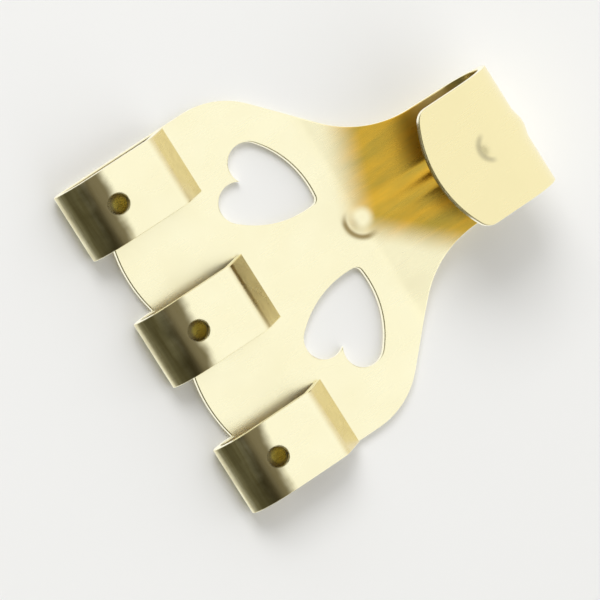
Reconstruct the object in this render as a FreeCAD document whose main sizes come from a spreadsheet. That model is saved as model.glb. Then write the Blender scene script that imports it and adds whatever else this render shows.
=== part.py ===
import FreeCAD, Part
import os
from math import atan2, cos as cosine, hypot, radians, sin as sine
import Sketcher

# Picture hook pressed and folded from one strip of sheet metal.
# X runs across the head, Z runs up the wall and the back of the plate lies on the wall at Y = 0,
# so the hook looks towards -Y. The origin is the middle nail exit hole, on the wall.
# Every drop is measured down from the top edge of the plate. Lengths are in mm and angles in degrees.

NODE = "picture_hook"

doc = FreeCAD.newDocument("picture_hook")
sizes = doc.addObject("Spreadsheet::Sheet", "Sizes")

DRIVING = {
    # sheet and plate
    "sheet_thickness": 0.8,
    "side_drop": 12.8,
    "shoulder_radius": 8.0,
    "flank_angle": 47.0,
    "throat_radius": 10.4,
    "neck_width": 12.6,
    "edge_crown": 0.45,
    # nail loops
    "loop_count": 3,
    "loop_pitch": 13.9,
    "loop_width": 7.0,
    "loop_height": 3.8,
    "loop_reach": 2.0,
    "root_radius": 1.3,
    "root_turn": 110.0,
    "face_drop": 8.1,
    "lip_radius": 0.9,
    "lip_slope": 55.0,
    "lip_gap": 0.15,
    # nail holes
    "nail_hole_diameter": 2.0,
    "nail_hole_drop": 2.3,
    "nail_slant": 35.0,
    "hole_rounding": 0.3,
    # heart cut-outs
    "heart_tip_offset": 3.7,
    "heart_tip_drop": 19.2,
    "heart_turn": 46.3,
    "heart_lobe_radius": 1.97,
    "heart_lobe_spread": 1.93,
    "heart_lobe_rise": 7.13,
    "heart_side_radius": 9.5,
    "heart_tip_radius": 0.7,
    # hook and front tab; the neck starts to lean forward at the lean drop
    "lean_drop": 20.9,
    "lean_radius": 8.0,
    "neck_lean": 10.0,
    "hook_drop": 38.3,
    "hook_depth": 10.2,
    "tab_flare": 3.0,
    "tab_top_drop": 27.5,
    "tab_edge_radius": 11.6,
    "tab_corner_radius": 1.5,
    # stiffening rib; its top line lies inside the plate's back by the inset
    "rib_width": 3.4,
    "rib_height": 0.6,
    "rib_inset": 0.03,
    "rib_lean_radius": 8.0,
    "rib_turn": 176.0,
}

# How near to a place an edge has to lie to be taken for the one there
NEAR = 0.001

for row, (name, value) in enumerate(DRIVING.items(), start=1):
    sizes.set(f"A{row}", name)
    sizes.set(f"B{row}", str(value))
    sizes.setAlias(f"B{row}", name)
doc.recompute()


def size(name):
    return f"Sizes.{name}"


# Worked-out sizes, written as expressions on the driving ones
THICK = size("sheet_thickness")
HALF = f"({THICK} / 2)"
THROUGH = f"({THICK} + {HALF})"
HEIGHT = size("loop_height")
TURN = size("root_turn")
SLOPE = size("lip_slope")
ROOT = size("root_radius")
NOSE = f"(({HEIGHT} - {ROOT} * (1 - cos({TURN}))) / (1 + cos({TURN})))"
TOP = f"({size('nail_hole_drop')} + ({HEIGHT} + {HALF}) * tan({size('nail_slant')}))"
ROOT_Z = f"({TOP} - {size('edge_crown')})"
BEND_START = f"({size('loop_reach')} - {ROOT} - {HALF})"
SIDE = f"({size('loop_pitch')} * ({size('loop_count')} - 1) / 2 + {size('loop_width')} / 2)"
NECK = f"({size('neck_width')} / 2)"
FLANK = size("flank_angle")
LEAN = size("neck_lean")
LEAN_OUT = f"({size('lean_radius')} + {HALF})"
LEAN_Z = f"({TOP} - {size('lean_drop')})"
LEAN_END_Y = f"({LEAN_OUT} * (cos({LEAN}) - 1))"
LEAN_END_Z = f"({LEAN_Z} - {LEAN_OUT} * sin({LEAN}))"
DEPTH = f"({size('hook_depth')} + {THICK})"
LOW_Z = f"({TOP} - {size('hook_drop')})"
LEAN_REACH = f"(({DEPTH} + {LEAN_END_Y}) * cos({LEAN}) + ({LOW_Z} - {LEAN_END_Z}) * sin({LEAN}))"
BEND_OUT = f"({LEAN_REACH} / (1 + cos({LEAN}) - sin({LEAN})))"
BEND_MID = f"({BEND_OUT} - {HALF})"
BEND_Y = f"({BEND_OUT} - {DEPTH})"
BEND_Z = f"({LOW_Z} + {BEND_OUT})"
LEAN_RUN = f"(({LEAN_END_Z} - {BEND_Z} + {BEND_OUT} * sin({LEAN})) / cos({LEAN}))"
FLARE = size("tab_flare")
TAB_RISE = f"({size('hook_drop')} - {BEND_OUT} - {size('tab_top_drop')} + {BEND_MID} * sin({FLARE}))"
TAB_RUN = f"({TAB_RISE} / cos({FLARE}))"
RIB_HALF = f"({size('rib_width')} / 2)"
RIB_HIGH = size("rib_height")
RIB_RADIUS = f"(({RIB_HALF} ^ 2 + {RIB_HIGH} ^ 2) / (2 * {RIB_HIGH}))"
RIB_DEEP = f"({RIB_RADIUS} - {RIB_HIGH})"
RIB_Y = f"(-({RIB_RADIUS} + {size('rib_inset')}))"
RIB_TOP_Z = f"({LEAN_Z} + {RIB_HALF})"

body = doc.addObject("PartDesign::Body", NODE)
body.Label = NODE


def plane(role):
    return next(o for o in body.Origin.OriginFeatures if o.Role == role)


def number(expression):
    result = sizes.evalExpression(expression)
    return float(getattr(result, "Value", result))


def sketch_on(role, name, offset=None):
    """A sketch on an origin plane; offset gives (x, y, z) expressions in the plane's own axes."""
    sketch = body.newObject("Sketcher::SketchObject", name)
    sketch.AttachmentSupport = [(plane(role), "")]
    sketch.MapMode = "FlatFace"
    if offset:
        for axis, expression in zip("xyz", offset):
            sketch.setExpression(f"AttachmentOffset.Base.{axis}", expression)
    return sketch


def drive(sketch, kind, *where, to):
    """Adds a constraint and binds it to an expression."""
    value = number(to)
    if kind == "Angle":
        value = FreeCAD.Units.Quantity(value, FreeCAD.Units.Angle).getValueAs("rad").Value
        to = f"({to}) * 1 deg"
    index = sketch.addConstraint(Sketcher.Constraint(kind, *where, value))
    sketch.setExpression(f"Constraints[{index}]", to)


def pin(sketch, geometry, point, x, z):
    """Holds one point of a sketch at an (x, z) given as expressions."""
    for kind, expression in (("DistanceX", x), ("DistanceY", z)):
        drive(sketch, kind, -1, 1, geometry, point, to=expression)


def vector(x, z):
    return FreeCAD.Vector(number(x), number(z), 0)


volumes = [0.0]


def check(feature, grows):
    """Recomputes and makes sure that a feature added or took away material."""
    doc.recompute()
    volumes.append(feature.Shape.Volume)
    if (volumes[-1] - volumes[-2]) * grows <= 0:
        raise RuntimeError(f"{feature.Name} changed nothing")


START, END, CENTRE = 1, 2, 3
UP, DOWN = 90, -90


def outline(sketch, points, arcs):
    """A closed outline through pinned points: lines, and arcs for the edges given a (radius, bulge side)."""
    spots = [vector(*p) for p in points]
    following = spots[1:] + spots[:1]
    ends = []
    for i, (a, b) in enumerate(zip(spots, following)):
        if i in arcs:
            radius = number(arcs[i][0])
            bulge = arcs[i][1]
            chord = b - a
            across = FreeCAD.Vector(-chord.y, chord.x, 0).normalize()
            rise = radius - (radius ** 2 - chord.Length ** 2 / 4) ** 0.5
            sketch.addGeometry(Part.Arc(a, (a + b) / 2 + across * bulge * rise, b))
            ends.append((END, START) if bulge > 0 else (START, END))
        else:
            sketch.addGeometry(Part.LineSegment(a, b))
            ends.append((START, END))
    for i, (first, last) in enumerate(ends):
        j = (i + 1) % len(ends)
        sketch.addConstraint(Sketcher.Constraint("Coincident", i, last, j, ends[j][0]))
        pin(sketch, i, first, *points[i])
    for i, (radius, bulge) in arcs.items():
        drive(sketch, "Radius", i, to=radius)


def fold(sketch, start, heading, steps, corners=()):
    """A line of runs and bends, each bend a (radius, angle, side), closed through any corners."""
    at = vector(*start)
    turned = heading
    last = None
    for step in steps:
        along = FreeCAD.Vector(cosine(radians(turned)), sine(radians(turned)), 0)
        if isinstance(step, tuple):
            radius, angle, side = number(step[0]), number(step[1]), step[2]
            centre = at + FreeCAD.Vector(-along.y, along.x, 0) * side * radius
            spoke = at - centre
            half = FreeCAD.Rotation(FreeCAD.Vector(0, 0, 1), side * angle / 2).multVec(spoke)
            full = FreeCAD.Rotation(FreeCAD.Vector(0, 0, 1), side * angle).multVec(spoke)
            geometry = sketch.addGeometry(Part.Arc(at, centre + half, centre + full))
            ends = (START, END) if side > 0 else (END, START)
            at = centre + full
            turned += side * angle
        else:
            onward = at + along * number(step)
            geometry = sketch.addGeometry(Part.LineSegment(at, onward))
            ends = (START, END)
            at = onward
        if last is None:
            first = (geometry, ends[0])
            pin(sketch, geometry, ends[0], *start)
            if isinstance(step, tuple):
                sketch.addConstraint(Sketcher.Constraint("Horizontal", geometry, ends[0], geometry, CENTRE))
            else:
                sketch.addConstraint(Sketcher.Constraint("Vertical", geometry))
        else:
            sketch.addConstraint(Sketcher.Constraint("Tangent", last[0], last[1], geometry, ends[0]))
        if isinstance(step, tuple):
            drive(sketch, "Radius", geometry, to=step[0])
            drive(sketch, "Angle", geometry, to=step[1])
        else:
            drive(sketch, "Distance", geometry, to=step)
        last = (geometry, ends[1])
    for corner in corners:
        onward = vector(*corner)
        geometry = sketch.addGeometry(Part.LineSegment(at, onward))
        sketch.addConstraint(Sketcher.Constraint("Coincident", *last, geometry, START))
        pin(sketch, geometry, END, *corner)
        at = onward
        last = (geometry, END)
    if corners:
        geometry = sketch.addGeometry(Part.LineSegment(at, vector(*start)))
        sketch.addConstraint(Sketcher.Constraint("Coincident", *last, geometry, START))
        sketch.addConstraint(Sketcher.Constraint("Coincident", geometry, END, *first))
    return [f"Edge{i + 1}" for i in range(len(steps))]


def rectangle(sketch, left, right, low, high):
    outline(sketch, [(left, low), (right, low), (right, high), (left, high)], {})


def circle(sketch, x, z, diameter):
    sketch.addGeometry(Part.Circle(vector(x, z), FreeCAD.Vector(0, 0, 1), number(diameter) / 2))
    pin(sketch, 0, CENTRE, x, z)
    drive(sketch, "Diameter", 0, to=diameter)


# Stiffening rib: a bar of round section that comes out of the back of the leaning neck, runs round the
# outside of the bend and ends on the front tab; it is cut back to the middle of the sheet
hook_steps = [
    (size("lean_radius"), LEAN, -1),
    LEAN_RUN,
    (BEND_MID, f"(180 - {FLARE} - {LEAN})", -1),
    TAB_RUN,
]
rib_swing = f"({size('rib_lean_radius')} * tan({LEAN} / 2))"
rib_gap = f"({RIB_RADIUS} + {size('rib_inset')} + {LEAN_END_Y} - {RIB_DEEP} * cos({LEAN}))"
rib_meet = f"({rib_gap} / sin({LEAN}))"
rib_meet_z = f"({LEAN_END_Z} + {RIB_DEEP} * sin({LEAN}) - {rib_meet} * cos({LEAN}))"
rib_bend = f"({BEND_OUT} - {RIB_DEEP})"
rib_base = f"({RIB_DEEP} - {THICK})"
rib_foot = f"sqrt({RIB_RADIUS} ^ 2 - {rib_base} ^ 2)"
rib_path = sketch_on("YZ_Plane", "RibPath")
rib_edges = fold(
    rib_path,
    (RIB_Y, RIB_TOP_Z),
    DOWN,
    [
        f"({RIB_TOP_Z} - {rib_meet_z} - {rib_swing})",
        (size("rib_lean_radius"), LEAN, -1),
        f"({LEAN_RUN} - {rib_meet} - {rib_swing})",
        (rib_bend, f"({size('rib_turn')} - {LEAN})", -1),
    ],
)
rib_section = sketch_on("XY_Plane", "RibSection", ("0", RIB_Y, RIB_TOP_Z))
outline(rib_section, [(f"(-{rib_foot})", rib_base), (rib_foot, rib_base)], {1: (RIB_RADIUS, -1)})
rib = body.newObject("PartDesign::AdditivePipe", "Rib")
rib.Profile = rib_section
rib.Spine = (rib_path, rib_edges)
check(rib, 1)


def rib_end(name, corners, radius, kind, grows):
    """Turns a section about the line square to the tab at the rib's end."""
    turn = size("rib_turn")
    place = (f"({BEND_Y} + {rib_bend} * cos({turn}))", f"({BEND_Z} - {rib_bend} * sin({turn}))", "0")
    sketch = sketch_on("YZ_Plane", f"{name}Section", place)
    sketch.setExpression("AttachmentOffset.Rotation.Angle", f"-{turn} * 1 deg")
    outline(sketch, corners, {1: (radius, -1)})
    cap = body.newObject(kind, name)
    cap.Profile = sketch
    cap.ReferenceAxis = (sketch, ["H_Axis"])
    check(cap, grows)


ridge = [(rib_base, "0"), (RIB_RADIUS, "0"), (rib_base, rib_foot)]
rib_end("RibEnd", ridge, RIB_RADIUS, "PartDesign::Revolution", 1)
within = sketch_on("YZ_Plane", "WithinTheHook", ("0", "0", f"(-{size('rib_width')})"))
above_z = f"({RIB_TOP_Z} + {THICK})"
beyond_y = f"(-({DEPTH} + {RIB_RADIUS}))"
fold(
    within,
    (f"(-{HALF})", above_z),
    DOWN,
    [f"({above_z} - {LEAN_Z})"] + hook_steps,
    [(beyond_y, above_z)],
)
rib_trim = body.newObject("PartDesign::Pocket", "RibTrim")
rib_trim.Profile = within
rib_trim.Reversed = True
rib_trim.setExpression("Length", f"2 * {size('rib_width')}")
check(rib_trim, -1)

# Plate: straight sides, rounded shoulders and the top of the flanks
side_z = f"({TOP} - {size('side_drop')})"
shoulder_x = f"({SIDE} - {size('shoulder_radius')} * (1 - cos({FLANK})))"
shoulder_z = f"({side_z} - {size('shoulder_radius')} * sin({FLANK}))"
flank_x = f"({shoulder_x} - ({shoulder_z} - {LEAN_Z}) * tan({FLANK}))"
gap_half = f"(({size('loop_pitch')} - {size('loop_width')}) / 2)"
crown_radius = f"(({gap_half} ^ 2 + {size('edge_crown')} ^ 2) / (2 * {size('edge_crown')}))"
right_side = [(flank_x, LEAN_Z), (shoulder_x, shoulder_z), (SIDE, side_z)]
top_edge = []
arcs = {1: (size("shoulder_radius"), -1)}
for loop in range(DRIVING["loop_count"]):
    middle = f"({SIDE} - {size('loop_width')} / 2 - {loop} * {size('loop_pitch')})"
    top_edge.append((f"({middle} + {size('loop_width')} / 2)", ROOT_Z))
    top_edge.append((f"({middle} - {size('loop_width')} / 2)", ROOT_Z))
    if loop < DRIVING["loop_count"] - 1:
        arcs[len(right_side) + len(top_edge) - 1] = (crown_radius, -1)
left_side = [(f"(-{x})", z) for x, z in reversed(right_side)]
arcs[len(right_side) + len(top_edge)] = (size("shoulder_radius"), -1)
plate_outline = sketch_on("XZ_Plane", "PlateOutline")
outline(plate_outline, right_side + top_edge + left_side, arcs)
plate = body.newObject("PartDesign::Pad", "Plate")
plate.Profile = plate_outline
plate.setExpression("Length", THICK)
check(plate, 1)

# Hook: the neck leans forward, then bends up into the front tab
hook_path = sketch_on("YZ_Plane", "HookPath")
hook_edges = fold(hook_path, (f"(-{HALF})", LEAN_Z), DOWN, hook_steps)
hook_section = sketch_on("XY_Plane", "HookSection", ("0", "0", LEAN_Z))
rectangle(hook_section, f"(-{flank_x})", flank_x, f"(-{THICK})", "0")
hook = body.newObject("PartDesign::AdditivePipe", "Hook")
hook.Profile = hook_section
hook.Spine = (hook_path, hook_edges)
check(hook, 1)

# Sides of the neck: the flanks run on into rounded throats
throat_x = f"({NECK} + {size('throat_radius')} * (1 - cos({FLANK})))"
throat_z = f"({shoulder_z} - ({shoulder_x} - {throat_x}) / tan({FLANK}))"
neck_z = f"({throat_z} - {size('throat_radius')} * sin({FLANK}))"
beyond_x = f"({flank_x} + {THICK})"
beyond_low = f"({LOW_Z} - {THICK} - {RIB_HIGH})"
neck_side = sketch_on("XZ_Plane", "NeckSideOutline")
outline(
    neck_side,
    [
        (flank_x, LEAN_Z),
        (throat_x, throat_z),
        (NECK, neck_z),
        (NECK, beyond_low),
        (beyond_x, beyond_low),
        (beyond_x, LEAN_Z),
    ],
    {1: (size("throat_radius"), -1)},
)
neck_cut = body.newObject("PartDesign::Pocket", "NeckSide")
neck_cut.Profile = neck_side
neck_cut.Reversed = True
neck_cut.setExpression("Length", f"(-{BEND_Y})")
check(neck_cut, -1)
neck_sides = body.newObject("PartDesign::Mirrored", "NeckSides")
neck_sides.Originals = [neck_cut]
neck_sides.MirrorPlane = (plane("YZ_Plane"), [""])
body.Tip = neck_sides
check(neck_sides, -1)

# Sides and rounded free edge of the front tab
apex_z = f"({TOP} - {size('tab_top_drop')})"
edge_radius = size("tab_edge_radius")
corner = size("tab_corner_radius")
corner_x = f"({NECK} - {corner})"
corner_rise = f"sqrt(({edge_radius} - {corner}) ^ 2 - {corner_x} ^ 2)"
corner_z = f"({apex_z} - {edge_radius} + {corner_rise})"
stretch = f"({edge_radius} / ({edge_radius} - {corner}))"
meet_x = f"({corner_x} * {stretch})"
meet_z = f"({apex_z} - {edge_radius} + {corner_rise} * {stretch})"
beyond_z = f"({apex_z} + {THICK})"
tab_end = sketch_on("XZ_Plane", "TabEnd", ("0", "0", f"(-{BEND_Y})"))
outline(
    tab_end,
    [
        (f"(-{NECK})", beyond_low),
        (f"(-{NECK})", corner_z),
        (f"(-{meet_x})", meet_z),
        (meet_x, meet_z),
        (NECK, corner_z),
        (NECK, beyond_low),
        (beyond_x, beyond_low),
        (beyond_x, beyond_z),
        (f"(-{beyond_x})", beyond_z),
        (f"(-{beyond_x})", beyond_low),
    ],
    {1: (corner, 1), 2: (edge_radius, 1), 3: (corner, 1)},
)
tab_cut = body.newObject("PartDesign::Pocket", "TabRounding")
tab_cut.Profile = tab_end
tab_cut.Reversed = True
tab_cut.setExpression("Length", size("hook_depth"))
check(tab_cut, -1)

# Hollow of the rib, pressed from the front of the neck and the inside of the bend
hollow = f"({RIB_RADIUS} - {THICK})"
hollow_section = sketch_on("XY_Plane", "RibHollowSection", ("0", RIB_Y, RIB_TOP_Z))
circle(hollow_section, "0", "0", f"(2 * {hollow})")
hollow_cut = body.newObject("PartDesign::SubtractivePipe", "RibHollow")
hollow_cut.Profile = hollow_section
hollow_cut.Spine = (rib_path, rib_edges)
check(hollow_cut, -1)
inner = f"({hollow} / 2)"
bowl = [(inner, "0"), (hollow, "0"), (inner, f"sqrt({hollow} ^ 2 - {inner} ^ 2)")]
rib_end("RibHollowEnd", bowl, hollow, "PartDesign::Groove", -1)

# Heart cut-outs, one each side
lobe = size("heart_lobe_radius")
spread = size("heart_lobe_spread")
rise = size("heart_lobe_rise")
side = size("heart_side_radius")
point = size("heart_tip_radius")
heart_tip_z = f"({TOP} - {size('heart_tip_drop')})"
heart = sketch_on("XZ_Plane", "Heart", (size("heart_tip_offset"), heart_tip_z, "0"))
heart.setExpression("AttachmentOffset.Rotation.Angle", f"-{size('heart_turn')} * 1 deg")
lobe_centre = vector(spread, rise)
tip_centre = vector("0", point)
apart = (lobe_centre - tip_centre).Length
to_lobe = number(side) - number(lobe)
to_tip = number(side) - number(point)
along = (to_tip ** 2 - to_lobe ** 2 + apart ** 2) / (2 * apart)
away = (to_tip ** 2 - along ** 2) ** 0.5
axis = (lobe_centre - tip_centre).normalize()
side_centre = tip_centre + axis * along + FreeCAD.Vector(-axis.y, axis.x, 0) * away
notch = FreeCAD.Vector(0, number(rise) + (number(lobe) ** 2 - number(spread) ** 2) ** 0.5, 0)


def touch(centre, through, radius):
    return centre + (through - centre).normalize() * radius


def flip(v):
    return FreeCAD.Vector(-v.x, v.y, 0)


def arc_between(sketch, centre, first, last):
    """An arc drawn anticlockwise about a centre."""
    angles = [atan2(p.y - centre.y, p.x - centre.x) for p in (first, last)]
    circle = Part.Circle(centre, FreeCAD.Vector(0, 0, 1), (first - centre).Length)
    sketch.addGeometry(Part.ArcOfCircle(circle, *angles))


lobe_touch = touch(side_centre, lobe_centre, number(side))
tip_touch = touch(side_centre, tip_centre, number(side))
arc_between(heart, flip(lobe_centre), notch, flip(lobe_touch))
arc_between(heart, flip(side_centre), flip(lobe_touch), flip(tip_touch))
arc_between(heart, tip_centre, flip(tip_touch), tip_touch)
arc_between(heart, side_centre, tip_touch, lobe_touch)
arc_between(heart, lobe_centre, lobe_touch, notch)
for i in range(4):
    heart.addConstraint(Sketcher.Constraint("Tangent", i, END, i + 1, START))
heart.addConstraint(Sketcher.Constraint("Coincident", 4, END, 0, START))
pin(heart, 0, CENTRE, f"(-{spread})", rise)
pin(heart, 2, CENTRE, "0", point)
pin(heart, 4, CENTRE, spread, rise)
for i, radius in enumerate((lobe, side, point, side, lobe)):
    drive(heart, "Radius", i, to=radius)
heart_cut = body.newObject("PartDesign::Pocket", "HeartCut")
heart_cut.Profile = heart
heart_cut.Reversed = True
heart_cut.setExpression("Length", THROUGH)
check(heart_cut, -1)
hearts = body.newObject("PartDesign::Mirrored", "Hearts")
hearts.Originals = [heart_cut]
hearts.MirrorPlane = (plane("YZ_Plane"), [""])
body.Tip = hearts
check(hearts, -1)

# Nail loop: a strip folded over the front, with its end bent back to the plate
first_x = f"(-({SIDE} - {size('loop_width')} / 2))"
loop_path = sketch_on("YZ_Plane", "LoopPath", ("0", "0", first_x))
lip = size("lip_radius")
face_run = (
    f"({size('face_drop')} + {BEND_START} + ({ROOT} - {NOSE}) * sin({TURN})"
    f" - ({lip} + {HALF}) * tan({SLOPE} / 2))"
)
lip_run = (
    f"(({HEIGHT} - {HALF} - {size('lip_gap')} - {HALF} * cos({SLOPE})) / sin({SLOPE})"
    f" - {lip} * tan({SLOPE} / 2))"
)
loop_steps = [
    f"({size('edge_crown')} + {BEND_START})",
    (ROOT, TURN, 1),
    (NOSE, f"(180 - {TURN})", 1),
    face_run,
    (lip, SLOPE, 1),
    lip_run,
]
loop_edges = fold(loop_path, (f"(-{HALF})", ROOT_Z), UP, loop_steps)
loop_section = sketch_on("XY_Plane", "LoopSection", (first_x, "0", ROOT_Z))
loop_half = f"({size('loop_width')} / 2)"
rectangle(loop_section, f"(-{loop_half})", loop_half, f"(-{THICK})", "0")
loop = body.newObject("PartDesign::AdditivePipe", "Loop")
loop.Profile = loop_section
loop.Spine = (loop_path, loop_edges)
check(loop, 1)

# Nail holes: one in the loop's face, and the exit hole in the plate behind it
face_hole = sketch_on("XZ_Plane", "FaceHole", ("0", "0", f"({THICK} + {HEIGHT})"))
circle(face_hole, first_x, f"({TOP} - {size('nail_hole_drop')})", size("nail_hole_diameter"))
face_cut = body.newObject("PartDesign::Pocket", "FaceHoleCut")
face_cut.Profile = face_hole
face_cut.setExpression("Length", THROUGH)
check(face_cut, -1)
exit_hole = sketch_on("XZ_Plane", "ExitHole")
circle(exit_hole, first_x, "0", size("nail_hole_diameter"))
exit_cut = body.newObject("PartDesign::Pocket", "ExitHoleCut")
exit_cut.Profile = exit_hole
exit_cut.Reversed = True
exit_cut.setExpression("Length", THROUGH)
check(exit_cut, -1)
loops = body.newObject("PartDesign::LinearPattern", "Loops")
loops.Originals = [loop, face_cut, exit_cut]
loops.Direction = (plane("X_Axis"), [""])
loops.setExpression("Length", f"{size('loop_pitch')} * ({size('loop_count')} - 1)")
loops.setExpression("Occurrences", size("loop_count"))
body.Tip = loops
check(loops, 1)

# Drawn-in rims of the nail holes in the faces


def at_face_hole(edge):
    spot = edge.valueAt((edge.FirstParameter + edge.LastParameter) / 2)
    drop = spot.z - number(f"{TOP} - {size('nail_hole_drop')}")
    radius = number(size("nail_hole_diameter")) / 2
    centres = [number(f"{first_x} + {i} * {size('loop_pitch')}") for i in range(DRIVING["loop_count"])]
    at_rim = any(abs(hypot(spot.x - x, drop) - radius) < NEAR for x in centres)
    return at_rim and abs(spot.y + number(f"{THICK} + {HEIGHT}")) < NEAR


rims = [f"Edge{i}" for i, edge in enumerate(loops.Shape.Edges, start=1) if at_face_hole(edge)]
hole_rims = body.newObject("PartDesign::Fillet", "HoleRims")
hole_rims.Base = (loops, rims)
hole_rims.setExpression("Radius", size("hole_rounding"))
check(hole_rims, -1)

doc.recompute()
for item in doc.Objects:
    if "Invalid" in item.State or "Error" in item.State:
        raise RuntimeError(f"{item.Name} failed: {item.State}")
shape = body.Shape
if shape.isNull() or not shape.isValid() or len(shape.Solids) != 1:
    raise RuntimeError(f"{NODE} is not one sound solid")
os.makedirs("parts", exist_ok=True)
shape.exportStep(f"parts/{NODE}.step")
print(NODE, "volume", round(shape.Volume, 2), "cubic mm")
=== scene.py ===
from math import atan2, cos, degrees, exp, hypot, pi, radians, sin, sqrt, tan
import bpy
from mathutils import Matrix, Vector


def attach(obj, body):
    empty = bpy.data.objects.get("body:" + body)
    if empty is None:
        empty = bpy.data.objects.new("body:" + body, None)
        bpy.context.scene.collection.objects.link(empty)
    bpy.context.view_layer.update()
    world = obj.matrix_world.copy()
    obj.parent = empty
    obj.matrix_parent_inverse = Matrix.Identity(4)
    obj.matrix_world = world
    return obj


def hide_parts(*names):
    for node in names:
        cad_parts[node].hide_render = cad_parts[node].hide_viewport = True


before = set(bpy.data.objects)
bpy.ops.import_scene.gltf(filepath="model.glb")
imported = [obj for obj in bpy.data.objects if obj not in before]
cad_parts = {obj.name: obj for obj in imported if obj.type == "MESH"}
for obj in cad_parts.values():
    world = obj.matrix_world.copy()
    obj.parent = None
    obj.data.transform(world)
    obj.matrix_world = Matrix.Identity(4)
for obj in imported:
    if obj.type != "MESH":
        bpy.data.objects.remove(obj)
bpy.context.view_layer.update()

# One picture hook, drawn as the flat blank cut from a sheet, then pressed and folded as the real one is.
# Its sizes are in mm and its angles in degrees, and the scene is in metres.
MM = 0.001


class Socket:
    """A shader socket that takes part in Python sums."""

    def __init__(self, tree, socket):
        self.tree = tree
        self.socket = socket

    def __add__(self, other):
        return self.tree.maths("ADD", self, other)

    def __radd__(self, other):
        return self.tree.maths("ADD", other, self)

    def __sub__(self, other):
        return self.tree.maths("SUBTRACT", self, other)

    def __rsub__(self, other):
        return self.tree.maths("SUBTRACT", other, self)

    def __mul__(self, other):
        return self.tree.maths("MULTIPLY", self, other)

    def __rmul__(self, other):
        return self.tree.maths("MULTIPLY", other, self)


class Tree:
    """The nodes of one material or world."""

    def __init__(self, owner):
        owner.use_nodes = True
        self.nodes = owner.node_tree.nodes
        self.links = owner.node_tree.links
        self.nodes.clear()

    def add(self, kind, settings=None, inputs=None):
        """Adds a node: its settings first, then the values or links of its inputs. Gives back its outputs."""
        node = self.nodes.new(kind)
        for name, value in (settings or {}).items():
            if name == "stops":
                self.ramp(node, value)
            else:
                setattr(node, name, value)
        for name, value in (inputs or {}).items():
            if isinstance(value, Socket):
                self.links.new(value.socket, node.inputs[name])
            else:
                node.inputs[name].default_value = value
        return [Socket(self, out) for out in node.outputs]

    def ramp(self, node, stops):
        elements = node.color_ramp.elements
        while len(elements) < len(stops):
            elements.new(0.5)
        for element, (place, colour) in zip(elements, stops):
            element.position = place
            element.color = colour

    def maths(self, operation, *values):
        return self.add("ShaderNodeMath", {"operation": operation}, dict(enumerate(values)))[0]

    def larger(self, first, second):
        return self.maths("MAXIMUM", first, second)

    def away(self, across, along):
        """How far a place is from a point that lies this far across and along from it."""
        return self.maths("SQRT", across * across + along * along)

    def step(self, value, none, full):
        """A soft mask: 0 at one value, 1 at the other."""
        settings = {"interpolation_type": "SMOOTHSTEP"}
        return self.add("ShaderNodeMapRange", settings, {0: value, 1: none, 2: full})[0]

    def band(self, value, none, full, fade, gone):
        """A soft mask that comes in between two values and goes out between two others."""
        return self.step(value, none, full) * (1 - self.step(value, fade, gone))

    def blend(self, amount, first, second):
        return self.add("ShaderNodeMix", {"data_type": "RGBA"}, {0: amount, 6: first, 7: second})[2]

    def noise(self, vector, scale, detail, roughness=0.55):
        inputs = {"Vector": vector, "Scale": scale, "Detail": detail, "Roughness": roughness}
        return self.add("ShaderNodeTexNoise", None, inputs)[0]

    def stretched(self, vector, across, along):
        return self.add("ShaderNodeMapping", None, {"Vector": vector, "Scale": (across, along, 1.0)})[0]


def grey(level):
    return (level, level, level, 1)


# Camera: above the head's side of square on, rolled so that the head points down to the left
CAMERA_DISTANCE = 0.60
FRAME_WIDTH = 0.0559
TILT = 13.0
SWING = 6.0
ROLL = 123.55
AIM = Vector((-0.0030, -0.003, -0.0071))
SENSOR_WIDTH = 36
toward = Vector((sin(radians(SWING)), -cos(radians(SWING)) * cos(radians(TILT)), sin(radians(TILT))))
toward.normalize()
camera = bpy.data.objects.new("camera", bpy.data.cameras.new("camera"))
bpy.context.scene.collection.objects.link(camera)
bpy.context.scene.camera = camera
camera.data.sensor_width = SENSOR_WIDTH
camera.data.lens = SENSOR_WIDTH * CAMERA_DISTANCE / FRAME_WIDTH
camera.data.clip_start = 0.01
look = toward.to_track_quat("Z", "Y").to_matrix() @ Matrix.Rotation(radians(-ROLL), 3, "Z")
camera.matrix_world = Matrix.Translation(AIM + toward * CAMERA_DISTANCE) @ look.to_4x4()


def lamp(name, toward_lamp, distance, side, strength):
    """A soft square lamp that faces the hook, of the same brightness whatever its size."""
    data = bpy.data.lights.new(name, "AREA")
    data.shape = "RECTANGLE"
    data.size = side
    data.size_y = side
    data.energy = strength * pi * side * side
    obj = bpy.data.objects.new(name, data)
    bpy.context.scene.collection.objects.link(obj)
    direction = Vector(toward_lamp).normalized()
    obj.location = direction * distance
    obj.rotation_euler = direction.to_track_quat("Z", "Y").to_euler()
    return obj


key = lamp("key", (0.62, -0.72, -0.10), distance=0.9, side=0.45, strength=5.2)
key.visible_glossy = False

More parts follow.
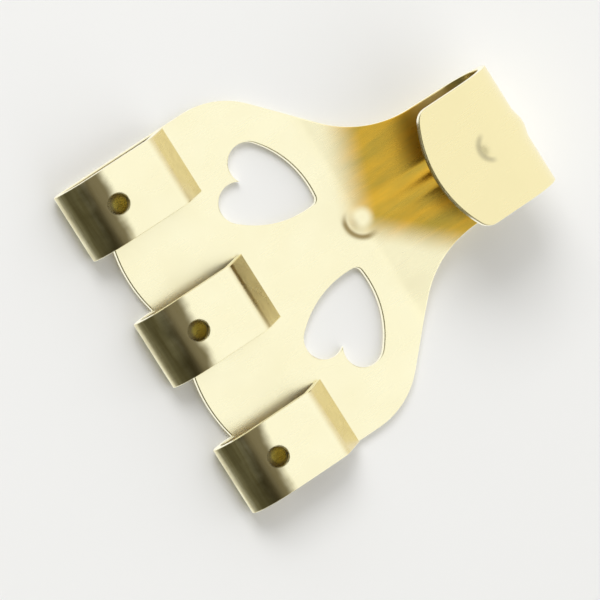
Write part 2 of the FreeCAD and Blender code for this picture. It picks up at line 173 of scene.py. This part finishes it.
# Studio: a white tent all round, and a dark room that opens above and in front of the hook
TENT, ROOM = (1.07, 1.07, 1.06, 1), (0.125, 0.116, 0.068, 1)
ROOM_FOOT, ROOM_SLOPE, ROOM_LEAN = 0.19, 6, 0.75
DARKENING = [(0.0, grey(0)), (0.3, grey(0.5)), (0.6, grey(0.93)), (1.0, grey(1))]
world = bpy.data.worlds.new("studio")
bpy.context.scene.world = world
sky = Tree(world)
_, depth_in, height = sky.add("ShaderNodeSeparateXYZ", None, {0: sky.add("ShaderNodeTexCoord")[0]})
above = sky.add("ShaderNodeValToRGB", {"stops": DARKENING}, {0: (height - ROOM_FOOT) * ROOM_SLOPE})[0]
in_front = sky.step(height * ROOM_LEAN - depth_in, -0.05, 0.10)
surround = sky.blend(above * in_front, TENT, ROOM)
background = sky.add("ShaderNodeBackground", None, {"Color": surround, "Strength": 1.0})[0]
sky.add("ShaderNodeOutputWorld", None, {"Surface": background})
bpy.context.scene.view_settings.view_transform = "Standard"


def wall_material():
    """Pale paint that shows only from the front and keeps the hook's shadow."""
    material = bpy.data.materials.new("pale_wall")
    tree = Tree(material)
    paint = tree.add("ShaderNodeBsdfDiffuse", None, {"Color": grey(0.86)})[0]
    clear = tree.add("ShaderNodeBsdfTransparent")[0]
    from_behind = tree.add("ShaderNodeNewGeometry")[6]
    one_sided = tree.add("ShaderNodeMixShader", None, {0: from_behind, 1: paint, 2: clear})[0]
    tree.add("ShaderNodeOutputMaterial", None, {"Surface": one_sided})
    return material


WALL_SIZE = 0.4
WALL_GAP = 0.00005
bpy.ops.object.select_all(action="DESELECT")
bpy.ops.mesh.primitive_plane_add(size=WALL_SIZE, location=(0, WALL_GAP, 0), rotation=(radians(90), 0, 0))
wall = bpy.context.object
wall.name = "wall"
wall.data.materials.append(wall_material())
wall.visible_glossy = False
wall.visible_diffuse = False
wall.visible_shadow = False

# Sizes of the hook, as the solid has them; a drop is measured down from the plate's top edge
SHEET = 0.8
HALF = SHEET / 2
NAIL_DROP, NAIL_SLANT, FACE_HIGH = 2.3, 35.0, 3.8
TOP = NAIL_DROP + (FACE_HIGH + HALF) * tan(radians(NAIL_SLANT))
CROWN = 0.45
ROOT_Z = TOP - CROWN
PITCH = 13.9
LOOPS = (-PITCH, 0.0, PITCH)
LOOP_HALF = 3.5
SIDE = PITCH + LOOP_HALF
SIDE_DROP = 12.8
THROAT, SHOULDER, FLANK = 10.4, 8.0, 47.0
NECK = 6.3
LEAN, LEAN_RADIUS, LEAN_DROP = 10.0, 8.0, 20.9
LEAN_Z = TOP - LEAN_DROP
HOOK_DROP, HOOK_DEPTH = 38.3, 10.2
LOW_Z = TOP - HOOK_DROP
FLARE, TAB_DROP = 3.0, 27.5

# Radius of the nail holes, a shade less than the solid's, and of the cut edges, which the solid leaves sharp
HOLE = 0.97
EDGE = 0.11


class Path:
    """The middle line of the sheet, seen from the side: runs, and bends of (radius, angle)."""

    def __init__(self, y, z, heading, turn, steps):
        self.turn = turn
        self.spans = []
        length = 0.0
        for step in steps:
            bend = isinstance(step, tuple)
            span = step[0] * radians(step[1]) if bend else step
            self.spans.append((length, length + span, y, z, heading, step[0] if bend else None))
            if bend:
                y, z, heading = self.along_bend(y, z, heading, step[0], span)
            else:
                y, z = y + cos(heading) * span, z + sin(heading) * span
            length += span
        self.length = length

    def along_bend(self, y, z, heading, radius, span):
        side = self.turn
        centre_y = y - side * sin(heading) * radius
        centre_z = z + side * cos(heading) * radius
        onward = heading + side * span / radius
        return centre_y + side * sin(onward) * radius, centre_z - side * cos(onward) * radius, onward

    def at(self, s):
        """Place on the middle line and heading after a length s of sheet."""
        for start, end, y, z, heading, radius in self.spans:
            if s <= end or end == self.length:
                if radius is None:
                    return y + cos(heading) * (s - start), z + sin(heading) * (s - start), heading
                return self.along_bend(y, z, heading, radius, s - start)

    def place(self, s, depth):
        """A point of the folded sheet: depth is measured from the blank's back."""
        y, z, heading = self.at(s)
        across = heading + self.turn * pi / 2
        return y + cos(across) * (depth - HALF), z + sin(across) * (depth - HALF)


# Nail loop, as folded: up out of the plate, over, down the face and back in at the lip
ROOT, ROOT_TURN, LOOP_RISE = 1.3, 110.0, 2.0
NOSE = (FACE_HIGH - ROOT * (1 - cos(radians(ROOT_TURN)))) / (1 + cos(radians(ROOT_TURN)))
START = LOOP_RISE - ROOT - HALF
LIP, SLOPE, LIP_DROP, LIP_GAP = 0.9, 55.0, 8.1, 0.15
FACE_RUN = LIP_DROP + START + (ROOT - NOSE) * sin(radians(ROOT_TURN)) - (LIP + HALF) * tan(radians(SLOPE / 2))
LIP_HIGH = FACE_HIGH - HALF - LIP_GAP - HALF * cos(radians(SLOPE))
LIP_RUN = LIP_HIGH / sin(radians(SLOPE)) - LIP * tan(radians(SLOPE / 2))
loop_steps = [CROWN + START, (ROOT, ROOT_TURN), (NOSE, 180 - ROOT_TURN), FACE_RUN, (LIP, SLOPE), LIP_RUN]
loop_path = Path(-HALF, ROOT_Z, pi / 2, 1, loop_steps)

# Neck, bend and front tab
cos_lean, sin_lean = cos(radians(LEAN)), sin(radians(LEAN))
LEAN_OUT = LEAN_RADIUS + HALF
lean_y = -LEAN_OUT * (1 - cos_lean)
lean_z = LEAN_Z - LEAN_OUT * sin_lean
BEND = ((HOOK_DEPTH + SHEET + lean_y) * cos_lean + (LOW_Z - lean_z) * sin_lean) / (1 + cos_lean - sin_lean)
BEND_Z = LOW_Z + BEND
LEAN_RUN = (lean_z - BEND_Z + BEND * sin_lean) / cos_lean
TAB_RUN = (HOOK_DROP - BEND - TAB_DROP + (BEND - HALF) * sin(radians(FLARE))) / cos(radians(FLARE))
hook_steps = [(LEAN_RADIUS, LEAN), LEAN_RUN, (BEND - HALF, 180 - FLARE - LEAN), TAB_RUN]
hook_path = Path(-HALF, LEAN_Z, -pi / 2, -1, hook_steps)

# Places along the blank: the face of a loop, its hole and its lip, then the ends of the lean and of the bend
face_start, face_end, _, face_z, _, _ = loop_path.spans[3]
face_s, lip_s = ROOT_Z + face_start, ROOT_Z + face_end
hole_s = ROOT_Z + (face_start + face_z - (TOP - NAIL_DROP))
lean_end = LEAN_Z - hook_path.spans[0][1]
bend_start, bend_end = [LEAN_Z - place for place in hook_path.spans[2][:2]]

# Outline of the flat blank: x across, s up the plate and on along each folded strip
side_s = TOP - SIDE_DROP
shoulder_x = SIDE - SHOULDER * (1 - cos(radians(FLANK)))
shoulder_s = side_s - SHOULDER * sin(radians(FLANK))
throat_x = NECK + THROAT * (1 - cos(radians(FLANK)))
throat_z = shoulder_s - (shoulder_x - throat_x) / tan(radians(FLANK))
neck_z = throat_z - THROAT * sin(radians(FLANK))


def arc(x, s, radius, first, last, pieces=16):
    """Points of an arc about (x, s)."""
    angles = [radians(first + (last - first) * i / pieces) for i in range(pieces + 1)]
    return [(x + radius * cos(a), s + radius * sin(a)) for a in angles]


def down_the_neck(z):
    """Place on the blank of a height on the neck, which leans forward."""
    drop = LEAN_Z - z
    lean_drop = LEAN_RADIUS * sin_lean
    if drop <= 0:
        return z
    if drop < lean_drop:
        return LEAN_Z - LEAN_RADIUS * atan2(drop, sqrt(LEAN_RADIUS * LEAN_RADIUS - drop * drop))
    return lean_end - (drop - lean_drop) / cos_lean


def half_outline():
    """The blank's right half, from the middle of the tab's edge to the middle loop."""
    end_s = LEAN_Z - hook_path.length
    edge, corner = 11.6, 1.5
    rise = sqrt((edge - corner) ** 2 - (NECK - corner) ** 2)
    slant = degrees(atan2(rise, NECK - corner))
    edge_arc = arc(0, -edge, edge, 90, slant, 24)
    corner_arc = arc(NECK - corner, rise - edge, corner, slant, 0, 8)
    points = [(x, end_s - v) for x, v in edge_arc + corner_arc[1:]]
    throat = arc(NECK + THROAT, neck_z, THROAT, 180, 180 - FLANK, 24)
    points += [(x, down_the_neck(z)) for x, z in throat]
    points += arc(SIDE - SHOULDER, side_s, SHOULDER, -FLANK, 0, 20)
    loop_end = ROOT_Z + loop_path.length
    points += [(SIDE, loop_end), (SIDE - 2 * LOOP_HALF, loop_end)]
    half_gap = PITCH / 2 - LOOP_HALF
    crown = (half_gap ** 2 + CROWN ** 2) / (2 * CROWN)
    spread = degrees(atan2(half_gap, crown - CROWN))
    points += arc(PITCH / 2, TOP - crown, crown, 90 - spread, 90 + spread, 12)
    points += [(LOOP_HALF, loop_end)]
    return points


def heart(side):
    """One heart cut-out, its point towards the neck."""
    lobe, spread, rise, flank, point = 1.97, 1.93, 7.13, 9.5, 0.7
    turn, tip_x, tip_s = radians(-46.3), 3.7, TOP - 19.2
    apart = hypot(spread, rise - point)
    to_lobe, to_tip = flank - lobe, flank - point
    along = (to_tip ** 2 - to_lobe ** 2 + apart ** 2) / (2 * apart)
    away = sqrt(to_tip ** 2 - along ** 2)
    ux, us = spread / apart, (rise - point) / apart
    cx, cs = ux * along - us * away, point + us * along + ux * away
    lobe_angle = degrees(atan2(rise - cs, spread - cx))
    tip_angle = degrees(atan2(point - cs, -cx))
    notch = degrees(atan2(sqrt(lobe ** 2 - spread ** 2), -spread))
    right = arc(0, point, point, -90, tip_angle, 6)
    right += arc(cx, cs, flank, tip_angle, lobe_angle, 20)[1:]
    right += arc(spread, rise, lobe, lobe_angle, notch, 20)[1:]
    shape = right + [(-x, s) for x, s in reversed(right[1:-1])]
    turned = [(x * cos(turn) - s * sin(turn), x * sin(turn) + s * cos(turn)) for x, s in shape]
    return [(side * (x + tip_x), s + tip_s) for x, s in turned]


def ring(x, s, radius):
    return arc(x, s, radius, 0, 360, 48)[:-1]


right = half_outline()
blank = bpy.data.curves.new("blank", "CURVE")
blank.dimensions = "2D"
blank.fill_mode = "BOTH"
blank.extrude = HALF - EDGE
blank.bevel_depth = EDGE
blank.bevel_resolution = 3
blank.offset = -EDGE
cuts = [right + [(-x, s) for x, s in reversed(right[1:])], heart(1), heart(-1)]
for x in LOOPS:
    cuts += [ring(x, 0, HOLE), ring(x, hole_s, HOLE)]
for points in cuts:
    spline = blank.splines.new("POLY")
    spline.points.add(len(points) - 1)
    for point, (x, s) in zip(spline.points, points):
        point.co = (x, s, 0, 1)
    spline.use_cyclic_u = True
hook = bpy.data.objects.new("folded_hook", blank)
bpy.context.scene.collection.objects.link(hook)
bpy.ops.object.select_all(action="DESELECT")
hook.select_set(True)
bpy.context.view_layer.objects.active = hook
bpy.ops.object.convert(target="MESH")
hook = bpy.context.object
SAME_POINT = 0.002
bpy.ops.object.mode_set(mode="EDIT")
bpy.ops.mesh.select_all(action="SELECT")
bpy.ops.mesh.remove_doubles(threshold=SAME_POINT)
bpy.ops.object.mode_set(mode="OBJECT")


def rule(rows=(), columns=(), inside=None):
    """Cuts the faces of a region, or all of them, along rows of s and columns of x."""
    if inside:
        hook.data.polygons.foreach_set("select", [inside(*p.center[:2]) for p in hook.data.polygons])
    bpy.ops.object.mode_set(mode="EDIT")
    bpy.ops.mesh.select_mode(type="FACE")
    if inside:
        bpy.ops.mesh.hide(unselected=True)
    for place, normal in [((0, s, 0), (0, 1, 0)) for s in rows] + [((x, 0, 0), (1, 0, 0)) for x in columns]:
        bpy.ops.mesh.select_all(action="SELECT")
        bpy.ops.mesh.bisect(plane_co=place, plane_no=normal)
    bpy.ops.mesh.reveal(select=False)
    bpy.ops.object.mode_set(mode="OBJECT")


def even(first, last, step):
    """Places from one to another, both counted, about a step apart."""
    count = max(1, round(abs(last - first) / step))
    return [first + (last - first) * i / count for i in range(count + 1)]


# Cuts: how far they reach about the pressed shapes on the blank, and how far apart they are
MARGIN = 0.1
PRESS_RISE, PRESS_DROP = 1.5, 3.2
press_top, press_foot = LEAN_Z + PRESS_RISE, bend_end - PRESS_DROP
RIB_REACH, STRIP_REACH, RIM_REACH = 2.7, 13.2, 1.15
SWELL_STEP, BEND_STEP, NECK_STEP, LOOP_STEP = 0.19, 0.2, 0.3, 0.16
STRIP_STEP, RIB_STEP, RIM_STEP = 0.9, 0.15, 0.1

# Rows round every bend of the neck, the hook and the loops, and columns for the rib
rows = [press_top + MARGIN] + even(press_top, LEAN_Z, SWELL_STEP)[:-1] + even(LEAN_Z, lean_end, BEND_STEP)
rows += even(lean_end, bend_start, NECK_STEP)[1:] + even(bend_start, bend_end, BEND_STEP)[1:]
rows += even(bend_end, press_foot, BEND_STEP)[1:]
for start, end, _, _, _, radius in loop_path.spans:
    first, last = ROOT_Z + start, ROOT_Z + end
    rows += even(first, last, LOOP_STEP)[:-1] if radius else [first, first + MARGIN, last - MARGIN]
rows += [ROOT_Z - MARGIN, press_foot - MARGIN]
rule(rows=rows)
rule(columns=(-RIB_REACH, RIB_REACH), inside=lambda x, s: s < press_top)
rule(columns=even(-STRIP_REACH, STRIP_REACH, STRIP_STEP), inside=lambda x, s: s < press_top)
rule(
    columns=even(-RIB_REACH, RIB_REACH, RIB_STEP)[1:-1],
    inside=lambda x, s: press_foot < s < press_top and abs(x) < RIB_REACH,
)

# A fine grid round each face hole, where the rim is drawn in, with a margin about it
rule(rows=(hole_s - RIM_REACH - MARGIN, hole_s - RIM_REACH, hole_s + RIM_REACH, hole_s + RIM_REACH + MARGIN))
for middle in LOOPS:
    rule(
        columns=(middle - RIM_REACH - MARGIN, middle + RIM_REACH + MARGIN),
        inside=lambda x, s: abs(s - hole_s) < RIM_REACH + MARGIN,
    )
    rule(columns=(middle - RIM_REACH, middle + RIM_REACH), inside=lambda x, s: abs(s - hole_s) < RIM_REACH)
    rule(
        rows=even(hole_s - RIM_REACH, hole_s + RIM_REACH, RIM_STEP)[1:-1],
        columns=even(middle - RIM_REACH, middle + RIM_REACH, RIM_STEP)[1:-1],
        inside=lambda x, s: abs(s - hole_s) < RIM_REACH and abs(x - middle) < RIM_REACH,
    )

# Fold: the rib and the drawn-in nail holes are pressed, then each strip takes its bends
RIB_HALF = 1.7
RIB_TOP_DROP, RIB_TURN, RIB_PAST_TURN = 1.25, 176, 0.5
RIB_TOP = LEAN_Z - RIB_TOP_DROP
RIB_END = bend_start - (BEND - HALF) * radians(RIB_TURN - LEAN) - RIB_PAST_TURN
RIB_HIGH = [(LEAN_Z, 0.17), (LEAN_Z - 6, 0.5), (bend_start, 0.5), (bend_start - 7, 0.28), (RIB_END, 0.34)]
SWELL_DEEP, SWELL_WIDE, SWELL_RUN = 0.035, 0.4, 3
RIM = RIM_REACH - HOLE + 0.001


def soft_step(value):
    value = min(1.0, max(0.0, value))
    return value * value * (3 - 2 * value)


def rib_high(s):
    """Height of the rib along the strip."""
    for (start, first), (end, last) in zip(RIB_HIGH, RIB_HIGH[1:]):
        if s >= end:
            return first + (last - first) * soft_step((start - s) / (start - end))
    return RIB_HIGH[-1][1]


def rib_press(x, s):
    """How far the rib stands out of the back, or goes in where a low swell runs round its top."""
    reach = max(s - RIB_TOP, RIB_END - s, 0.0)
    power = 2 if s > bend_start else 3
    out = (abs(x) ** power + reach ** power) ** (1 / power) / RIB_HALF
    if out < 1:
        return rib_high(s) * 0.5 * (1 + cos(pi * out))
    if out < 1 + SWELL_WIDE and s > RIB_TOP - SWELL_RUN:
        fade = soft_step((s - RIB_TOP + SWELL_RUN) / SWELL_RUN)
        return -SWELL_DEEP * sin(pi * (out - 1) / SWELL_WIDE) ** 2 * fade
    return 0.0


def fold(x, s, depth):
    """Place in space of a point of the blank, depth measured from its back."""
    middle = min(LOOPS, key=lambda m: abs(x - m))
    if s >= ROOT_Z - 1e-4 and abs(x - middle) < LOOP_HALF + 1e-3:
        inward = max(0.0, RIM_REACH - max(hypot(x - middle, s - hole_s), HOLE))
        depth += RIM - sqrt(RIM * RIM - inward * inward)
        return x, *loop_path.place(s - ROOT_Z, depth)
    along = LEAN_Z - s
    if along > -PRESS_RISE:
        press = rib_press(x, s)
        room = max(0.0, -hook_path.place(max(along, 0.0), 0)[0]) / cos(radians(LEAN)) + 1e-6
        behind = room * (1 - exp(-press / room)) if press > 0 else 0
        depth -= behind + (press - behind) * depth / SHEET
    if along > 0:
        return x, *hook_path.place(along, depth)
    return x, -depth, s


# Each flat meets its rounded edges in a sharp line, so that it keeps its own even shading
flat = [all(abs(hook.data.vertices[v].co.z) > HALF - 1e-4 for v in p.vertices) for p in hook.data.polygons]
hook.data.polygons.foreach_set("select", flat)
bpy.ops.object.mode_set(mode="EDIT")
bpy.ops.mesh.region_to_loop()
bpy.ops.mesh.mark_sharp()
bpy.ops.object.mode_set(mode="OBJECT")

# The plating is patterned by the place on the blank, which is kept before the blank is folded
blank_place = hook.data.attributes.new("blank", "FLOAT_VECTOR", "POINT")
for vertex, place in zip(hook.data.vertices, blank_place.data):
    place.vector = vertex.co
for vertex in hook.data.vertices:
    x, s, depth = vertex.co
    vertex.co = [MM * c for c in fold(x, s, depth + HALF)]
bpy.ops.object.mode_set(mode="EDIT")
bpy.ops.mesh.select_all(action="SELECT")
bpy.ops.mesh.normals_make_consistent(inside=False)
bpy.ops.object.mode_set(mode="OBJECT")
SMOOTH_BELOW = 35
bpy.ops.object.shade_smooth_by_angle(angle=radians(SMOOTH_BELOW))
even_faces = hook.modifiers.new("even_faces", "WEIGHTED_NORMAL")
even_faces.keep_sharp = True
bpy.ops.object.modifier_apply(modifier=even_faces.name)


# Colours of the plating
PLATE_DULL, PLATE_BRIGHT = (0.91, 0.85, 0.57, 1), (0.965, 0.925, 0.67, 1)
# The back's colours are a darker gold, painted shade
BACK_SHADED_DULL, BACK_SHADED_BRIGHT, BACK_RUBBED = (0.80, 0.67, 0.33, 1), (0.90, 0.79, 0.46, 1), (0.58, 0.45, 0.20, 1)
# Of these, the lean's and the edges' colours are painted highlights
TAB_GOLD, LEAN_PAINTED_HIGHLIGHT, EDGE_PAINTED_HIGHLIGHT = (0.88, 0.79, 0.46, 1), (1.0, 0.94, 0.64, 1), (0.97, 0.92, 0.70, 1)
# These golds are a painted reflection on the neck's front
REFLECTION_OLIVE_GOLD, REFLECTION_ORANGE_GOLD, REFLECTION_BEND_GOLD = (0.46, 0.34, 0.055, 1), (0.74, 0.44, 0.045, 1), (0.80, 0.66, 0.30, 1)
# Painted shade at the rib's end on the tab and in an arc round the rib's top
RIB_END_PAINTED_SHADE, RIB_TOP_PAINTED_SHADE = (0.42, 0.38, 0.24, 1), (0.28, 0.20, 0.07, 1)
# The lips' tans are a painted reflection
LIP_REFLECTION_DULL, LIP_REFLECTION_BRIGHT = (0.60, 0.49, 0.24, 1), (0.84, 0.72, 0.40, 1)
# Painted dark reflections over the loops' bends, in a fringe over the nose, and where the nose meets the face
FOLD_PAINTED_REFLECTION, FRINGE_PAINTED_REFLECTION, NOSE_PAINTED_REFLECTION = (0.50, 0.43, 0.20, 1), (0.26, 0.22, 0.10, 1), (0.15, 0.12, 0.05, 1)
# Painted shade inside the loops
LOOP_INSIDE_PAINTED_SHADE = (0.62, 0.46, 0.18, 1)
# Painted shade in the nail holes' rims and on the plate seen through them
HOLE_PAINTED_OLIVE, HOLE_PAINTED_DARK, HOLE_RIM_PAINTED_SHADE = (0.56, 0.50, 0.08, 1), (0.14, 0.11, 0.03, 1), (0.10, 0.065, 0.02, 1)


def brass_plate():
    """Polished pale brass plating, with painted light: a painted deep-gold reflection on the neck, painted
    dark reflections in the loops' folds and painted highlights at cut edges.
    """
    material = bpy.data.materials.new("brass_plate")
    tree = Tree(material)
    step, band, blend, noise, stretched = tree.step, tree.band, tree.blend, tree.noise, tree.stretched
    sheet = tree.add("ShaderNodeAttribute", {"attribute_name": "blank"})[1]
    across, along, depth = tree.add("ShaderNodeSeparateXYZ", None, {0: sheet})
    front = step(depth, 0.33, 0.39)
    rear = step(depth, -0.33, -0.39)
    # Cut edges take a lighter colour, a painted highlight
    cut_edge = 1 - step(depth, 0.30, 0.38) - step(depth, -0.30, -0.38)

    # Neck and tab: a painted deep-gold reflection on the neck, but for a painted highlight on the rib's top
    # and painted shade in an arc round it, and a painted dark ring at the rib's end
    flare = tree.larger((across + 0.5) * 0.36, (across + 0.5) * -1.1)
    # Painted highlight: the rib's top is kept pale, out of the neck's painted reflection
    rib_top_painted_highlight = 1 - step(tree.away(across, along - RIB_TOP), 0.4, 1.4)
    neck = step(LEAN_Z - 0.6 - along - flare, -2.3, 2.3) * front * (1 - rib_top_painted_highlight)
    # Painted highlight: a brighter gold on the front from the top of the lean down, where the neck's painted
    # reflection leaves off
    lean = (1 - step(along, LEAN_Z - 1.6, LEAN_Z)) * front
    from_top = tree.away(across, tree.larger(along - RIB_TOP, 0.0))
    # Painted shade: a dark arc on one side of the rib's top
    rib_top_painted_shade = band(from_top, 1.4, 1.75, 1.8, 2.3) * step(along, RIB_TOP - 1.0, RIB_TOP + 0.6) * front
    rib_top_painted_shade = rib_top_painted_shade * (1 - step(across, 0.2, 1.5))
    from_end = tree.away(across, tree.larger(RIB_END - along, 0.0))
    # Painted shade: a dark ring on the tab round the rib's end
    rib_end_painted_shade = band(from_end, 0.9, 1.25, 1.3, 1.75) * (1 - step(along, RIB_END - 0.8, RIB_END)) * rear
    outside = step(along, bend_start + 0.5, bend_start - 3.0) * rear
    # Painted shade: the back of the plate and neck in a darker gold
    back_plate = rear * (1 - step(along, ROOT_Z, ROOT_Z + 0.8)) * (1 - outside)

    # Loops: painted dark reflections over the bends and where they meet the face, a painted reflection on the
    # lips, and painted shade on the insides
    column = tree.maths("SNAP", across + PITCH / 2, PITCH)
    local = across - column
    # Painted reflection: the lips in a darker tan
    lips = step(along, lip_s + 0.1, lip_s + 0.7) * rear
    # Painted dark reflections over each loop's bends, streaked, darker in a fringe over the nose
    folds = band(along, ROOT_Z + 0.4, ROOT_Z + 1.0, face_s, face_s + 1.2) * rear
    fringe = band(along, ROOT_Z + 3.9, ROOT_Z + 4.4, ROOT_Z + 4.6, ROOT_Z + 5.6) * rear
    # Painted dark reflection where each loop's nose meets its face, with a ragged edge
    nose_reflection_s = along - local * 0.11 + noise(sheet, 0.55, 2.0) * 0.9 - 0.45
    nose_painted_reflection = band(nose_reflection_s, face_s - 2.4, face_s - 0.9, face_s + 0.1, face_s + 1.3) * rear
    # Painted shade on the plate and strip inside each loop
    inside = step(along, ROOT_Z + 2.5, ROOT_Z + 4.0) * front

    # Nail holes: painted shade on the rim of each face hole, and on the plate that shows behind it
    hole_rim_painted_shade = 1 - step(tree.away(local, along - hole_s), HOLE - 0.03, HOLE + 0.08)
    behind_hole = tree.away(local + 0.4, along - 2.06)
    shade = (1 - step(behind_hole, 1.4, 2.2)) * front

    # Wear: soft clouds, smears and rubbed lines along each strip, and ridges across it
    cloud = noise(sheet, 0.18, 2.0)
    fine_cloud = noise(sheet, 1.3, 4.0)
    streaks = noise(stretched(sheet, 1.0, 0.16), 0.9, 3.0)
    hair = noise(stretched(sheet, 4.5, 0.35), 1.0, 3.0, 0.65)
    rubbed = step(noise(stretched(sheet, 9.0, 0.22), 1.0, 3.0), 0.5, 0.7)
    ridges = noise(stretched(sheet, 0.25, 2.6), 1.0, 2.0)
    lines = noise(stretched(sheet, 14.0, 0.5), 1.0, 2.0)
    smears = noise(stretched(sheet, 0.35, 0.2), 1.0, 3.0)

    # Painted reflection: deep gold streaked olive and orange down the neck, paler towards the bend
    neck_painted_reflection = blend(step(streaks, 0.2, 0.8), REFLECTION_OLIVE_GOLD, REFLECTION_ORANGE_GOLD)
    neck_painted_reflection = blend(step(along, LEAN_Z - 9.5, LEAN_Z - 13.5), neck_painted_reflection, REFLECTION_BEND_GOLD)
    tone = blend(cloud, PLATE_DULL, PLATE_BRIGHT)
    for amount, colour in [
        (outside, TAB_GOLD),
        (back_plate, blend(cloud, BACK_SHADED_DULL, BACK_SHADED_BRIGHT)),
        (back_plate * rubbed * 0.3, BACK_RUBBED),
        (lean * 0.9, LEAN_PAINTED_HIGHLIGHT),
        (rib_end_painted_shade * 0.6, RIB_END_PAINTED_SHADE),
        (neck, neck_painted_reflection),
        (rib_top_painted_shade * 0.9, RIB_TOP_PAINTED_SHADE),
        (lips * 0.9, blend(fine_cloud, LIP_REFLECTION_DULL, LIP_REFLECTION_BRIGHT)),
        (folds * (step(hair, 0.35, 0.7) * 0.12 + step(ridges, 0.40, 0.65) * 0.4 + 0.1), FOLD_PAINTED_REFLECTION),
        (fringe * 0.5, FRINGE_PAINTED_REFLECTION),
        (nose_painted_reflection * 0.95, NOSE_PAINTED_REFLECTION),
        (inside * 0.85, LOOP_INSIDE_PAINTED_SHADE),
        (cut_edge * 0.7, EDGE_PAINTED_HIGHLIGHT),
        (shade * 0.9, blend(step(behind_hole, 0.45, 0.9), HOLE_PAINTED_OLIVE, HOLE_PAINTED_DARK)),
        (hole_rim_painted_shade * 0.9, HOLE_RIM_PAINTED_SHADE),
    ]:
        tone = blend(amount, tone, colour)

    # Finish: a soft polish, a little rougher and more uneven where the sheet was stretched in the loops
    roughness = smears * 0.16 + lines * 0.05 + folds * 0.07 + 0.17
    wear = lines * 0.5 + fine_cloud * 0.15 + folds * ridges
    bump = tree.add("ShaderNodeBump", None, {"Strength": 0.15, "Distance": 0.00002, "Height": wear})[0]
    inputs = {"Base Color": tone, "Metallic": 1.0, "Roughness": roughness, "Normal": bump}
    plating = tree.add("ShaderNodeBsdfPrincipled", None, inputs)[0]
    tree.add("ShaderNodeOutputMaterial", None, {"Surface": plating})
    return material


brass = brass_plate()
hook.data.materials.clear()
hook.data.materials.append(brass)
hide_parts("picture_hook")
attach(hook, "root")
